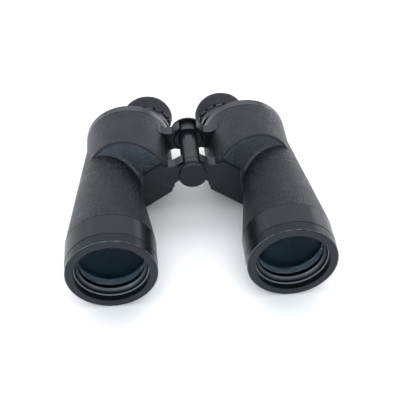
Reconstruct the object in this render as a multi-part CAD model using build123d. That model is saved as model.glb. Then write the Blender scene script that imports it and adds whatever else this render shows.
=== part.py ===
from build123d import *

import os
from math import cos, hypot, radians, sin, sqrt

# Porro-prism binoculars with a focusing ring on each eyepiece, as separate pieces.
# The objectives look along -Y, the eyepieces along +Y, and +Z is up. The plane X = 0 lies
# between the barrels. The origin is the bottom centre of the whole object, lying down.
# All sizes are in millimetres.

# Optical axes, seen along them
EYE_SPACING = 65.8
EYE_DROP = 14.6
OBJECTIVE_SPACING = 137.3
OBJECTIVE_DROP = 17.0

# Fits
RUNNING_FIT = 0.05
LENS_PLAY = 0.1
SCREW_PLAY = 0.1
FACE_PLAY = 0.05
RUN_GAP = 0.4
OVERRUN = 1.0

# Objective lens
LENS_RADIUS = 26.0
CROWN_THICKNESS = 9.0
FLINT_THICKNESS = 4.5
CROWN_FRONT_CURVE_RADIUS = 120.0
MIDDLE_CURVE_RADIUS = 90.0
FLINT_BACK_CURVE_RADIUS = 250.0

# Objective end, from the lens outwards and from the front rim backwards
MOUNT_WALL = 2.3
MOUNT_FLANGE = 1.6
MOUNT_FLANGE_LENGTH = 2.0
MOUNT_LIP = 1.3
MOUNT_LIP_LENGTH = 1.8
SPIGOT_GAP = 1.05
SPIGOT_WALL = 2.5
SPIGOT_LENGTH = 9.1
CELL_WALL = 3.2
CELL_LENGTH = 19.9
CELL_SHOULDER = 2.8
CELL_WEB = 7.5
NOSE_WALL = 1.9
HOOD_LENGTH = 9.2
HOOD_FLANGE = 6.3
HOOD_STEP = 0.2
HOOD_OPENING = 2.6
HOOD_LIP = 0.8
HOOD_LIP_LENGTH = 0.9
HOOD_CHAMFER = 0.9
HOOD_EDGE_ROUND = 0.5
LENS_SINK = 1.85
RETAINER_FRONT = 2.4
RETAINER_MOUTH = 2.9
RETAINER_NOSE = 0.55
RETAINER_PLAY = 0.3
RETAINER_CONE = 2.6
SEAM_BEVEL = 0.35
SEAL_RADIUS = 0.68
SEAL_SETBACK = 6.6

# Objective tube
TUBE_LENGTH = 68.9
TUBE_NARROWING = 9.85
TUBE_RUN_IN = 52.0
TUBE_FILLET = 2.5
WALL = 3.0
BAFFLE_LENGTH = 46.0
BAFFLE_WALL = 0.9
BAFFLE_RIB = 1.3
BAFFLE_RIBS = 10

# Prism housing
RIDGE_ANGLE = 36.0
RIDGE_OFFSET = 2.6
UPPER_SLOPE = 0.5
LOWER_SLOPE = 0.12
PRISM_CLEARANCE = 2.7
FLANK_ROOM = 4.6
RIDGE_ROOM = 6.9
PRISM_ROOM = 1.5
FRONT_EDGE_ROUND = 1.2
SHELF_THICKNESS = 3.0
SHELF_PLAY = 0.2
SHELF_LEDGE = 1.0
STRAP_THICKNESS = 0.6
STRAP_WIDTH = 6.0
STRAP_PLAY = 0.15

# Rear cover
COVER_DEPTH = 8.5
COVER_PLATE = 2.5
COVER_ROUND = 1.6
GASKET_THICKNESS = 0.6
GASKET_INSET = 1.2
GASKET_LEDGE = 0.4
SCREW_RADIUS = 1.0
SCREW_LENGTH = 13.0
SCREW_HEAD_RADIUS = 1.9
SCREW_HEAD_HEIGHT = 1.3
SCREW_SLOT_WIDTH = 0.5
SCREW_SLOT_DEPTH = 0.6
SCREW_ANGLES = (75.0, 150.0, 205.0, 262.0)
BOSS_RADIUS = 2.5
BOSS_INSET = 1.7
BOSS_LENGTH = 9.0

# Strap eyelet, on the lower outer side of each housing
EYELET_ANGLE = 215.0
EYELET_REACH = 5.6
EYELET_HOLE_RADIUS = 2.5
EYELET_RIM = 2.2
EYELET_THICKNESS = 5.0
EYELET_SETBACK = 9.0

# Eyepiece, from the inside outwards and from the rear cover backwards
EYE_LENS_RADIUS = 11.9
EYE_LENS_THICKNESS = 6.5
EYE_LENS_CURVE_RADIUS = 27.0
EYE_LENS_INNER_CURVE_RADIUS = 30.0
EYE_FLINT_THICKNESS = 2.2
FIELD_LENS_THICKNESS = 5.5
FIELD_LENS_CURVE_RADIUS = 30.0
TUBE_LIP = 1.4
TUBE_LIP_LENGTH = 1.2
EYE_TUBE_WALL = 1.55
EYE_TUBE_FRONT = 2.6
EYE_TUBE_BACK = 5.6
EYE_TUBE_FLANGE = 2.35
EYE_TUBE_FLANGE_LENGTH = 1.8
RETAINING_RING = 1.7
RETAINING_RING_LENGTH = 2.0
BASE_WALL = 2.8
BASE_NOSE = 1.9
BASE_FLANGE = 4.4
BASE_FLANGE_LENGTH = 2.5
NECK_LENGTH = 9.7
FOCUS_TRAVEL = 3.0
RING_WALL = 2.15
RING_SHOULDER_LENGTH = 1.0
GRIP_RIM = 1.6
GRIP_LENGTH = 1.9
GRIP_ROUND = 0.6
NOTCH_COUNT = 15
NOTCH_RADIUS = 1.35
NOTCH_LENGTH = 3.0
HOLDER_FLANGE_LENGTH = 1.6
HOLDER_NECK_WALL = 3.0
HOLDER_NECK_LENGTH = 4.4
EYECUP_SKIRT = 2.5
EYECUP_LENGTH = 11.3
EYECUP_FLARE = 22.4
EYECUP_FLARE_LENGTH = 5.4
EYECUP_BAND = 1.6
EYECUP_RIM = 1.9
EYECUP_TURN_IN = 1.4
EYECUP_LIP = 1.9
EYECUP_LIP_LENGTH = 1.5
EYECUP_ROUND = 0.8
EYECUP_FLARE_ROUND = 2.0

# Hinge
AXLE_RADIUS = 4.0
AXLE_HEAD_RADIUS = 7.0
AXLE_HEAD_LENGTH = 5.0
SOCKET_RADIUS = 2.6
SOCKET_LENGTH = 12.0
FRONT_KNUCKLE_RADIUS = 8.5
FRONT_KNUCKLE_LENGTH = 4.5
REAR_KNUCKLE_RADIUS = 11.4
REAR_KNUCKLE_LENGTH = 4.7
REAR_KNUCKLE_SETBACK = 17.0
KNUCKLE_GAP = 1.0
WASHER_THICKNESS = 0.6
SLEEVE_RADIUS = 8.0
SLEEVE_PLAY = 0.1
DIAL_RADIUS = 14.4
DIAL_THICKNESS = 1.6
NUT_RADIUS = 6.2
NUT_LENGTH = 3.0
NUT_SLOT = 1.6
CAP_RADIUS = 11.75
CAP_LENGTH = 10.0
CAP_RIM = 2.2
CAP_ROUND = 0.7
CAP_FRONT_WALL = 2.6

# Hinge arms: distances from the hinge axis sideways, and heights above or drops below it
ARM_PROUD = 0.6
ARM_CUT = 2.0
ARM_ROOT = 26.0
ARM_SADDLE = 18.0
ARM_RAMP = 13.3
ARM_LIP = 7.4
FRONT_ROOT_HEIGHT = 6.8
FRONT_SADDLE_HEIGHT = 2.5
FRONT_RAMP_HEIGHT = 3.6
FRONT_LIP_HEIGHT = 7.4
FRONT_WEB = 10.5
FRONT_WEB_DROP = 14.2
FRONT_STEP = 14.3
FRONT_STEP_TOP = 17.5
FRONT_STEP_DROP = 20.7
FRONT_ROOT_DROP = 23.2
REAR_ROOT_HEIGHT = 11.0
REAR_SADDLE_HEIGHT = 6.6
REAR_RAMP_HEIGHT = 7.0
REAR_LIP_HEIGHT = 12.5
REAR_WEB_DROP = 9.5
REAR_STEP = 16.0
REAR_ROOT_DROP = 11.0

# Radii at the objective end
lens_seat = LENS_RADIUS + LENS_PLAY
mount_radius = lens_seat + MOUNT_WALL
cell_bore = mount_radius + RUNNING_FIT
spigot_bore = cell_bore + SPIGOT_GAP
spigot_radius = spigot_bore + SPIGOT_WALL
cell_socket = spigot_radius + RUNNING_FIT
cell_radius = cell_socket + CELL_WALL
flange_radius = mount_radius + MOUNT_FLANGE
nose_bore = flange_radius + RUNNING_FIT
nose_radius = nose_bore + NOSE_WALL
hood_socket = nose_radius + RUNNING_FIT
hood_radius = cell_radius - HOOD_STEP
hood_opening = LENS_RADIUS + HOOD_OPENING

# Radii of the eyepiece
eye_tube_bore = EYE_LENS_RADIUS + LENS_PLAY
eye_tube_radius = eye_tube_bore + EYE_TUBE_WALL
base_bore = eye_tube_radius + RUNNING_FIT
neck_radius = base_bore + BASE_WALL
base_nose_radius = base_bore + BASE_NOSE
base_flange_radius = base_bore + BASE_FLANGE
ring_bore = neck_radius + RUNNING_FIT
ring_radius = ring_bore + RING_WALL
grip_radius = ring_radius + GRIP_RIM
tube_flange_radius = eye_tube_radius + EYE_TUBE_FLANGE
tube_flange_seat = tube_flange_radius + RUNNING_FIT
holder_bore = eye_tube_radius + RUN_GAP
holder_neck_radius = holder_bore + HOLDER_NECK_WALL
eyecup_bore = holder_neck_radius + RUNNING_FIT

# Axes, in X and Z, of the left barrel; the right barrel mirrors them
objective_x = -OBJECTIVE_SPACING / 2
objective_z = cell_radius
hinge_z = objective_z + OBJECTIVE_DROP
eye_x = -EYE_SPACING / 2
eye_z = hinge_z - EYE_DROP
middle_x = (objective_x + eye_x) / 2
middle_z = (objective_z + eye_z) / 2
between_x = middle_x + objective_z - middle_z
between_z = middle_z - objective_x + middle_x
axis_offset = hypot(objective_x - eye_x, objective_z - eye_z)
prism_shift = axis_offset / sqrt(2)
prism_half = prism_shift / 2

# The housing is a round block about the middle of the two axes, cut flat on its lower inner
# flank; across the ridge of its front run the directions "along" and "down"
along_x = cos(radians(RIDGE_ANGLE))
along_z = sin(radians(RIDGE_ANGLE))
down_x = along_z
down_z = -along_x
cavity_radius = axis_offset / 2 + prism_half + PRISM_CLEARANCE
housing_radius = cavity_radius + WALL
eye_down = (eye_x - middle_x) * down_x + (eye_z - middle_z) * down_z
cavity_flank = eye_down + prism_half + FLANK_ROOM
housing_flank = cavity_flank + WALL

# Stations along Y, first counted from the front rim
hood_back = HOOD_LENGTH
cell_back = hood_back + CELL_LENGTH
ridge = cell_back + TUBE_LENGTH
eye_prism_ridge = ridge + RIDGE_ROOM
shelf_front = eye_prism_ridge + prism_shift
shelf_back = shelf_front + SHELF_THICKNESS
field_prism_ridge = shelf_back + prism_shift
cover_inside = field_prism_ridge + PRISM_ROOM
cover_back = cover_inside + COVER_PLATE
seam = cover_back - COVER_DEPTH
neck_back = cover_back + BASE_FLANGE_LENGTH + NECK_LENGTH
ring_front = cover_back + BASE_FLANGE_LENGTH + FOCUS_TRAVEL + RUN_GAP
ring_shoulder = neck_back + FOCUS_TRAVEL + RUN_GAP
flange_front = ring_shoulder + RING_SHOULDER_LENGTH + FACE_PLAY
ring_back = flange_front + EYE_TUBE_FLANGE_LENGTH + FACE_PLAY
grip_back = ring_back - EYECUP_SKIRT
cup_front = ring_back + HOLDER_FLANGE_LENGTH
cup_back = cup_front + EYECUP_LENGTH
front = -cup_back / 2


def turned(outline):
    """A piece turned about the Y axis from an outline of (radius, station) corners.

    A third number on a corner rounds it by that radius.
    """
    points = [(corner[0], front + corner[1]) for corner in outline]
    face = make_face(Polyline(*points, close=True))
    for corner, point in zip(outline, points):
        if len(corner) == 3:
            face = fillet(face.vertices().sort_by_distance(point)[0], corner[2])
    return revolve(face, Axis.Y)


def ring(outer, inner, start, end):
    """A plain ring between two stations."""
    return turned([(inner, start), (outer, start), (outer, end), (inner, end)])


def disc(radius, start, end):
    """A plain round bar between two stations."""
    return turned([(0, start), (radius, start), (radius, end), (0, end)])


def on_objective(piece):
    """Moves a piece from the Y axis to the left objective's axis."""
    return Pos(objective_x, 0, objective_z) * piece


def on_eyepiece(piece):
    """Moves a piece from the Y axis to the left eyepiece's axis."""
    return Pos(eye_x, 0, eye_z) * piece


def on_hinge(piece):
    """Moves a piece from the Y axis to the hinge's axis."""
    return Pos(0, 0, hinge_z) * piece


def on_middle(piece):
    """Moves a piece from the Y axis to the middle of the left housing."""
    return Pos(middle_x, 0, middle_z) * piece


def slab(face, start, end):
    """A face drawn in X and Z, made solid between two stations."""
    plane = Plane(origin=(0, front + end, 0), x_dir=(1, 0, 0), z_dir=(0, -1, 0))
    return extrude(plane * face, end - start)


def sag(curve, radius):
    """How far a spherical face of one curve radius falls back at a distance from its axis."""
    return curve - sqrt(curve * curve - radius * radius)


def lens(radius, start, end, front_bulge, back_bulge):
    """A lens between two axial stations; a bulge is a signed curve radius, or 0 for flat."""

    def face_point(station, bulge, distance):
        fall = 0 if bulge == 0 else sag(abs(bulge), distance) * (1 if bulge > 0 else -1)
        return (distance, front + station + fall)

    def face_line(station, bulge):
        inner = face_point(station, bulge, 0)
        outer = face_point(station, bulge, radius)
        if bulge == 0:
            return Line(inner, outer)
        return ThreePointArc(inner, face_point(station, bulge, radius / 2), outer)

    front_line = face_line(start, front_bulge)
    back_line = face_line(end, -back_bulge)
    rim = Line(front_line @ 1, back_line @ 1)
    axis = Line(back_line @ 0, front_line @ 0)
    return revolve(make_face([front_line, rim, back_line, axis]), Axis.Y)


# Stations of the objective lens, seated by the edge of its back face
lens_shoulder = hood_back + CELL_SHOULDER
crown_edge = lens_shoulder + LENS_SINK
crown_front = crown_edge - sag(CROWN_FRONT_CURVE_RADIUS, LENS_RADIUS)
crown_back = crown_front + CROWN_THICKNESS
flint_front = crown_back + FACE_PLAY
flint_back = flint_front + FLINT_THICKNESS
mount_lip_bore = lens_seat - MOUNT_LIP
mount_lip = flint_back - sag(FLINT_BACK_CURVE_RADIUS, mount_lip_bore) + FACE_PLAY


def objective_hood():
    """The front ring, with a chamfered rim, a thin lip inside and a socket behind."""
    lip = hood_opening - HOOD_LIP
    lip_start = HOOD_FLANGE - HOOD_LIP_LENGTH
    return on_objective(turned([
        (hood_opening, 0, HOOD_EDGE_ROUND),
        (hood_radius - HOOD_CHAMFER, 0),
        (hood_radius, HOOD_CHAMFER),
        (hood_radius, hood_back - SEAM_BEVEL),
        (hood_radius - SEAM_BEVEL, hood_back),
        (hood_socket, hood_back),
        (hood_socket, HOOD_FLANGE),
        (lip, HOOD_FLANGE),
        (lip, lip_start),
        (hood_opening, lip_start),
    ]))


def objective_cell():
    """The smooth band behind the hood; its nose carries the hood, its socket takes the tube."""
    socket_front = cell_back - SPIGOT_LENGTH - FACE_PLAY
    return on_objective(turned([
        (nose_bore, HOOD_FLANGE + FACE_PLAY),
        (nose_radius, HOOD_FLANGE + FACE_PLAY),
        (nose_radius, hood_back),
        (cell_radius - SEAM_BEVEL, hood_back),
        (cell_radius, hood_back + SEAM_BEVEL),
        (cell_radius, cell_back - SEAM_BEVEL),
        (cell_radius - SEAM_BEVEL, cell_back),
        (cell_socket, cell_back),
        (cell_socket, socket_front),
        (cell_bore, socket_front),
        (cell_bore, lens_shoulder),
        (nose_bore, lens_shoulder),
    ]))


def lens_mount():
    """The ring that holds the two objective lenses against a lip at its back."""
    flange_start = lens_shoulder - MOUNT_FLANGE_LENGTH
    mount_back = mount_lip + MOUNT_LIP_LENGTH
    return on_objective(turned([
        (lens_seat, flange_start),
        (flange_radius, flange_start),
        (flange_radius, lens_shoulder),
        (mount_radius, lens_shoulder),
        (mount_radius, mount_back),
        (mount_lip_bore, mount_back),
        (mount_lip_bore, mount_lip),
        (lens_seat, mount_lip),
    ]))


def lens_retainer():
    """The threaded ring in front of the lens, with a conical mouth and a thin nose."""
    back = lens_shoulder - MOUNT_FLANGE_LENGTH
    start = back - RETAINER_FRONT
    nose = lens_seat - RETAINER_PLAY
    nose_bore_radius = nose - RETAINER_NOSE
    nose_end = crown_front + sag(CROWN_FRONT_CURVE_RADIUS, nose_bore_radius) - FACE_PLAY
    return on_objective(turned([
        (nose + RETAINER_MOUTH, start),
        (flange_radius, start),
        (flange_radius, back),
        (nose, back),
        (nose, nose_end),
        (nose_bore_radius, nose_end),
        (nose_bore_radius, start + RETAINER_CONE),
    ]))


def crown_lens():
    """The front objective lens, convex on both faces."""
    return on_objective(lens(
        LENS_RADIUS, crown_front, crown_back, CROWN_FRONT_CURVE_RADIUS, MIDDLE_CURVE_RADIUS))


def flint_lens():
    """The back objective lens, hollow in front."""
    return on_objective(lens(
        LENS_RADIUS, flint_front, flint_back, -MIDDLE_CURVE_RADIUS, FLINT_BACK_CURVE_RADIUS))


def objective_seal():
    """The rubber ring in the groove of the tube's spigot."""
    centre = (spigot_radius - SEAL_RADIUS, front + cell_back - SEAL_SETBACK)
    return on_objective(revolve(Pos(*centre) * Circle(SEAL_RADIUS), Axis.Y))


def tube_radius(station):
    """The outer radius of the tube, which narrows from the cell to the housing and beyond."""
    return cell_radius - TUBE_NARROWING * (station - cell_back) / TUBE_LENGTH


def bore_radius(station):
    """The inner radius of the tube, from its spigot to the prism shelf."""
    end_radius = tube_radius(shelf_back) - WALL
    share = (station - cell_back) / (shelf_back - cell_back)
    return spigot_bore + share * (end_radius - spigot_bore)


def tube_baffle():
    """A thin tapered sleeve in the tube, with ribs that keep stray light off the image."""
    start = cell_back + WALL
    pitch = BAFFLE_LENGTH / BAFFLE_RIBS

    def wall(station):
        return bore_radius(station) - RUN_GAP

    outline = [(wall(start), start), (wall(start + BAFFLE_LENGTH), start + BAFFLE_LENGTH)]
    for index in range(BAFFLE_RIBS, 0, -1):
        rib = start + index * pitch
        outline.append((wall(rib) - BAFFLE_WALL - BAFFLE_RIB, rib))
        outline.append((wall(rib) - BAFFLE_WALL - BAFFLE_RIB, rib - BAFFLE_WALL / 2))
        outline.append((wall(rib - pitch) - BAFFLE_WALL, rib - pitch))
    return on_objective(turned(outline))


def across(x, z, distance):
    """The point at a distance down across the ridge from a point in X and Z."""
    return (x + distance * down_x, z + distance * down_z)


def behind(piece, point, station, slope):
    """Keeps what lies behind a plane that rises by a slope per millimetre down the ridge."""
    plane = Plane(
        origin=(point[0], front + station, point[1]),
        z_dir=(slope * down_x, -1, slope * down_z),
    )
    return split(piece, plane, keep=Keep.BOTTOM)


def above_flank(piece, distance):
    """Keeps what lies above the flat flank of the housing."""
    foot = across(middle_x, middle_z, distance)
    plane = Plane(origin=(foot[0], 0, foot[1]), z_dir=(down_x, 0, down_z))
    return split(piece, plane, keep=Keep.BOTTOM)


def housing_block(radius, flank, inset, end):
    """The housing's round block with its ridged front, set back by an inset."""
    ridge_point = across(middle_x, middle_z, -RIDGE_OFFSET)
    upper = ridge + inset * sqrt(1 + UPPER_SLOPE * UPPER_SLOPE)
    lower = ridge + inset * sqrt(1 + LOWER_SLOPE * LOWER_SLOPE)
    block = above_flank(on_middle(disc(radius, ridge - OVERRUN, end)), flank)
    block = behind(block, ridge_point, upper, -UPPER_SLOPE)
    return behind(block, ridge_point, lower, LOWER_SLOPE)


def front_rounded(block):
    """Rounds the edges of the housing's sloping front."""
    sloping = [face for face in block.faces() if face.normal_at().Y < -0.5]
    edges = [edge for face in sloping for edge in face.edges()]
    return fillet(edges, FRONT_EDGE_ROUND)


def tube_joint(casting):
    """The edges where the tapered tube runs into the housing."""
    cone = max(
        (face for face in casting.faces() if face.geom_type == GeomType.CONE),
        key=lambda face: face.area)
    return [
        edge for edge in cone.edges()
        if edge.geom_type in (GeomType.ELLIPSE, GeomType.BSPLINE)
    ]


def screw_places():
    """The centres of the cover screws, in X and Z."""
    distance = cavity_radius - BOSS_INSET
    for angle in SCREW_ANGLES:
        yield middle_x + distance * cos(radians(angle)), middle_z + distance * sin(radians(angle))


def strap_eyelet():
    """The ear with a round hole that the strap is tied to."""
    out_x = cos(radians(EYELET_ANGLE))
    out_z = sin(radians(EYELET_ANGLE))
    distance = housing_radius + EYELET_REACH
    start = seam - EYELET_SETBACK - EYELET_THICKNESS
    end = seam - EYELET_SETBACK
    rim = EYELET_HOLE_RADIUS + EYELET_RIM
    place = Pos(middle_x + distance * out_x, 0, middle_z + distance * out_z)
    arm = Rectangle(EYELET_REACH + 2 * WALL, 2 * rim, align=(Align.MAX, Align.CENTER))
    neck = slab(Pos(distance, 0) * arm, start, end)
    neck = Pos(middle_x, 0, middle_z) * Rot(0, -EYELET_ANGLE, 0) * neck
    return neck + place * disc(rim, start, end), place * disc(
        EYELET_HOLE_RADIUS, start - OVERRUN, end + OVERRUN)


# Stations of the hinge
washer_front = ridge + FRONT_KNUCKLE_LENGTH
front_knuckle_back = washer_front + WASHER_THICKNESS + FRONT_KNUCKLE_LENGTH
rear_knuckle_front = seam - REAR_KNUCKLE_SETBACK
rear_washer_front = rear_knuckle_front + REAR_KNUCKLE_LENGTH
rear_knuckle_back = rear_washer_front + WASHER_THICKNESS + REAR_KNUCKLE_LENGTH
axle_front = ridge - AXLE_HEAD_LENGTH
dial_back = rear_knuckle_back + FACE_PLAY + DIAL_THICKNESS
nut_back = dial_back + NUT_LENGTH
cap_front = ridge - CAP_LENGTH
axle_bore = AXLE_RADIUS + RUNNING_FIT


def hinge_arm(knuckle, heights, under, start, end, own):
    """One arm between two stations, with a web to its own knuckle.

    From the housing it has a saddle on top, a ramp up to a lip that bends over the knuckles, a
    hollow round them and a lower edge through the given corners.
    """
    root_height, saddle_height, ramp_height, lip_height = heights
    hollow = knuckle + KNUCKLE_GAP
    root = (-ARM_ROOT, hinge_z + root_height)
    saddle = (-ARM_SADDLE, hinge_z + saddle_height)
    ramp = (-ARM_RAMP, hinge_z + ramp_height)
    lip = (-ARM_LIP, hinge_z + lip_height)
    below_axle = (-AXLE_RADIUS, hinge_z - knuckle)
    corners = [(-distance, hinge_z - drop) for distance, drop in under]
    outline = make_face([
        ThreePointArc(root, saddle, ramp),
        Polyline(ramp, lip, (0, hinge_z), below_axle, *corners, root),
    ])
    web = make_face(Polyline(
        (0, hinge_z - ARM_CUT),
        (-hollow - OVERRUN, hinge_z - ARM_CUT),
        corners[0],
        below_axle,
        close=True,
    ))
    arm = slab(outline, start, end) - on_hinge(disc(hollow, start - OVERRUN, end + OVERRUN))
    return arm + slab(web, *own)


def tube_and_housing():
    """The solid outside of a barrel: the tapered tube run into the ridged housing."""
    tube_end = ridge + TUBE_RUN_IN
    tube = on_objective(turned([
        (0, cell_back),
        (cell_radius, cell_back),
        (tube_radius(tube_end), tube_end),
        (0, tube_end),
    ]))
    casting = front_rounded(housing_block(housing_radius, housing_flank, 0, seam)) + tube
    return fillet(tube_joint(casting), TUBE_FILLET)


def front_arm(own):
    """The front arm with its knuckle, cut to the slopes of the housing's front."""
    arm = hinge_arm(
        FRONT_KNUCKLE_RADIUS,
        (FRONT_ROOT_HEIGHT, FRONT_SADDLE_HEIGHT, FRONT_RAMP_HEIGHT, FRONT_LIP_HEIGHT),
        ((FRONT_WEB, FRONT_WEB_DROP), (FRONT_STEP, FRONT_STEP_TOP), (FRONT_STEP, FRONT_STEP_DROP),
         (ARM_SADDLE, FRONT_ROOT_DROP), (ARM_ROOT, FRONT_ROOT_DROP)),
        ridge - OVERRUN, front_knuckle_back, own)
    foot = across(middle_x, middle_z, -RIDGE_OFFSET)
    arm = behind(arm, foot, ridge - ARM_PROUD, LOWER_SLOPE)
    arm = behind(arm, foot, ridge - ARM_PROUD, -UPPER_SLOPE)
    return arm + on_hinge(disc(FRONT_KNUCKLE_RADIUS, *own))


def rear_arm(own):
    """The rear arm with its knuckle, clear of the dial behind it."""
    arm = hinge_arm(
        REAR_KNUCKLE_RADIUS,
        (REAR_ROOT_HEIGHT, REAR_SADDLE_HEIGHT, REAR_RAMP_HEIGHT, REAR_LIP_HEIGHT),
        ((REAR_KNUCKLE_RADIUS, REAR_WEB_DROP), (REAR_STEP, REAR_ROOT_DROP),
         (ARM_ROOT, REAR_ROOT_DROP)),
        rear_knuckle_front, rear_knuckle_back - RUN_GAP, own)
    return arm + on_hinge(disc(REAR_KNUCKLE_RADIUS, *own))


def tube_bore():
    """The way of the light through the tube, as far as the prism shelf."""
    start = cell_back - SPIGOT_LENGTH - OVERRUN
    return on_objective(turned([
        (0, start),
        (spigot_bore, start),
        (spigot_bore, cell_back),
        (bore_radius(shelf_back), shelf_back),
        (0, shelf_back),
    ]))


def spigot():
    """The front end of the tube, which plugs into the objective cell, with its seal groove."""
    start = cell_back - SPIGOT_LENGTH
    groove_front = cell_back - SEAL_SETBACK - SEAL_RADIUS - FACE_PLAY
    groove_back = cell_back - SEAL_SETBACK + SEAL_RADIUS + FACE_PLAY
    groove_floor = spigot_radius - 2 * SEAL_RADIUS - FACE_PLAY
    return on_objective(turned([
        (spigot_bore, start),
        (spigot_radius, start),
        (spigot_radius, groove_front),
        (groove_floor, groove_front),
        (groove_floor, groove_back),
        (spigot_radius, groove_back),
        (spigot_radius, cell_back),
        (spigot_bore, cell_back),
    ]))


def body(outer_knuckles):
    """A barrel's casting. The left one has the outer knuckles, the right one the inner."""
    if outer_knuckles:
        front_own = (ridge, washer_front)
        rear_own = (rear_knuckle_back - REAR_KNUCKLE_LENGTH, rear_knuckle_back)
    else:
        front_own = (front_knuckle_back - FRONT_KNUCKLE_LENGTH, front_knuckle_back)
        rear_own = (rear_knuckle_front, rear_washer_front)

    eyelet, eyelet_hole = strap_eyelet()
    casting = tube_and_housing() + front_arm(front_own) + rear_arm(rear_own) + eyelet
    casting -= eyelet_hole
    casting -= housing_block(cavity_radius, cavity_flank, WALL, seam + OVERRUN)
    casting -= tube_bore()
    casting += spigot()
    screw_hole = disc(SCREW_RADIUS + RUNNING_FIT, screw_tip - OVERRUN, seam + OVERRUN)
    for x, z in screw_places():
        casting += Pos(x, 0, z) * disc(BOSS_RADIUS, seam - BOSS_LENGTH, seam)
        casting -= Pos(x, 0, z) * screw_hole
    casting -= on_hinge(disc(axle_bore, ridge - OVERRUN, rear_knuckle_back + OVERRUN))
    return casting


def prism(first, second, base, depth):
    """A Porro prism over two axes, its base at a station and its ridge a depth away."""
    run_x = (second[0] - first[0]) / prism_shift
    run_z = (second[1] - first[1]) / prism_shift
    centre = ((first[0] + second[0]) / 2, front + base, (first[1] + second[1]) / 2)
    side = Plane(origin=centre, x_dir=(run_x, 0, run_z), z_dir=(-run_z, 0, run_x))
    wedge = extrude(
        side * make_face(Polyline((-prism_shift, 0), (prism_shift, 0), (0, depth), close=True)),
        prism_half, both=True)
    end = Plane(origin=centre, x_dir=(run_x, 0, run_z), z_dir=(0, 1, 0))
    oval = extrude(end * SlotCenterToCenter(prism_shift, 2 * prism_half), abs(depth), both=True)
    return wedge & oval


def prism_strap(first, second, base, depth):
    """The bent spring strap that holds a prism on the shelf."""
    run_x = (second[0] - first[0]) / prism_shift
    run_z = (second[1] - first[1]) / prism_shift
    centre = ((first[0] + second[0]) / 2, front + base, (first[1] + second[1]) / 2)
    side = Plane(origin=centre, x_dir=(run_x, 0, run_z), z_dir=(-run_z, 0, run_x))
    way = 1 if depth > 0 else -1
    inner = abs(depth) + STRAP_PLAY * sqrt(2)
    outer = inner + STRAP_THICKNESS * sqrt(2)
    bend = Polyline(
        (-outer, 0), (0, way * outer), (outer, 0), (inner, 0), (0, way * inner), (-inner, 0),
        close=True)
    return extrude(side * make_face(bend), STRAP_WIDTH / 2, both=True)


objective_axis = (objective_x, objective_z)
between_axis = (between_x, between_z)
eye_axis = (eye_x, eye_z)
screw_tip = cover_back - SCREW_HEAD_HEIGHT - SCREW_LENGTH


def field_prism():
    """The first prism, behind the shelf, with its ridge towards the eyepiece."""
    return prism(objective_axis, between_axis, shelf_back, prism_shift)


def eye_prism():
    """The second prism, in front of the shelf, with its ridge towards the objective."""
    return prism(between_axis, eye_axis, shelf_front, -prism_shift)


def prism_straps():
    """The two straps over the prisms' ridges."""
    return [
        prism_strap(objective_axis, between_axis, shelf_back, prism_shift),
        prism_strap(between_axis, eye_axis, shelf_front, -prism_shift),
    ]


def prism_shelf():
    """The plate between the prisms, with a window on each of the three axes."""
    plate = on_middle(disc(cavity_radius - SHELF_PLAY, shelf_front, shelf_back))
    plate = above_flank(plate, cavity_flank - SHELF_PLAY)
    window = disc(prism_half - SHELF_LEDGE, shelf_front - OVERRUN, shelf_back + OVERRUN)
    for x, z in (objective_axis, between_axis, eye_axis):
        plate -= Pos(x, 0, z) * window
    return plate


def cover_gasket():
    """The thin rubber ring in the seam, set in a little so that it shows as a dark line."""
    outer = above_flank(
        on_middle(disc(housing_radius - GASKET_INSET, seam, seam + GASKET_THICKNESS)),
        housing_flank - GASKET_INSET)
    cut = (seam - OVERRUN, seam + GASKET_THICKNESS + OVERRUN)
    inner = above_flank(
        on_middle(disc(cavity_radius + GASKET_LEDGE, *cut)), cavity_flank + GASKET_LEDGE)
    gasket = outer - inner
    for x, z in screw_places():
        gasket -= Pos(x, 0, z) * disc(BOSS_RADIUS + RUN_GAP, *cut)
    return gasket


def rear_cover():
    """The cup-shaped cover behind the prisms, with the seat of the eyepiece."""
    start = seam + GASKET_THICKNESS
    cover = above_flank(on_middle(disc(housing_radius, start, cover_back)), housing_flank)
    back_edges = cover.faces().sort_by(Axis.Y)[-1].outer_wire().edges()
    cover = fillet(back_edges, COVER_ROUND)
    cut_start = start - OVERRUN
    cut_end = cover_back + OVERRUN
    cover -= above_flank(on_middle(disc(cavity_radius, cut_start, cover_inside)), cavity_flank)
    cover -= on_eyepiece(disc(base_nose_radius + RUNNING_FIT, cut_start, cut_end))
    screw_seat = cover_back - SCREW_HEAD_HEIGHT
    for x, z in screw_places():
        cover += Pos(x, 0, z) * disc(BOSS_RADIUS, start, cover_inside)
        cover -= Pos(x, 0, z) * disc(SCREW_RADIUS + SCREW_PLAY, cut_start, cut_end)
        cover -= Pos(x, 0, z) * disc(SCREW_HEAD_RADIUS + SCREW_PLAY, screw_seat, cut_end)
    return cover


def cover_screws():
    """The slotted screws of one rear cover."""
    head_front = cover_back - SCREW_HEAD_HEIGHT
    screw = turned([
        (0, screw_tip),
        (SCREW_RADIUS, screw_tip),
        (SCREW_RADIUS, head_front),
        (SCREW_HEAD_RADIUS, head_front),
        (SCREW_HEAD_RADIUS, cover_back),
        (0, cover_back),
    ])
    screw -= slab(
        Rectangle(2 * SCREW_HEAD_RADIUS + OVERRUN, SCREW_SLOT_WIDTH),
        cover_back - SCREW_SLOT_DEPTH, cover_back + OVERRUN)
    return [Pos(x, 0, z) * screw for x, z in screw_places()]


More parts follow.
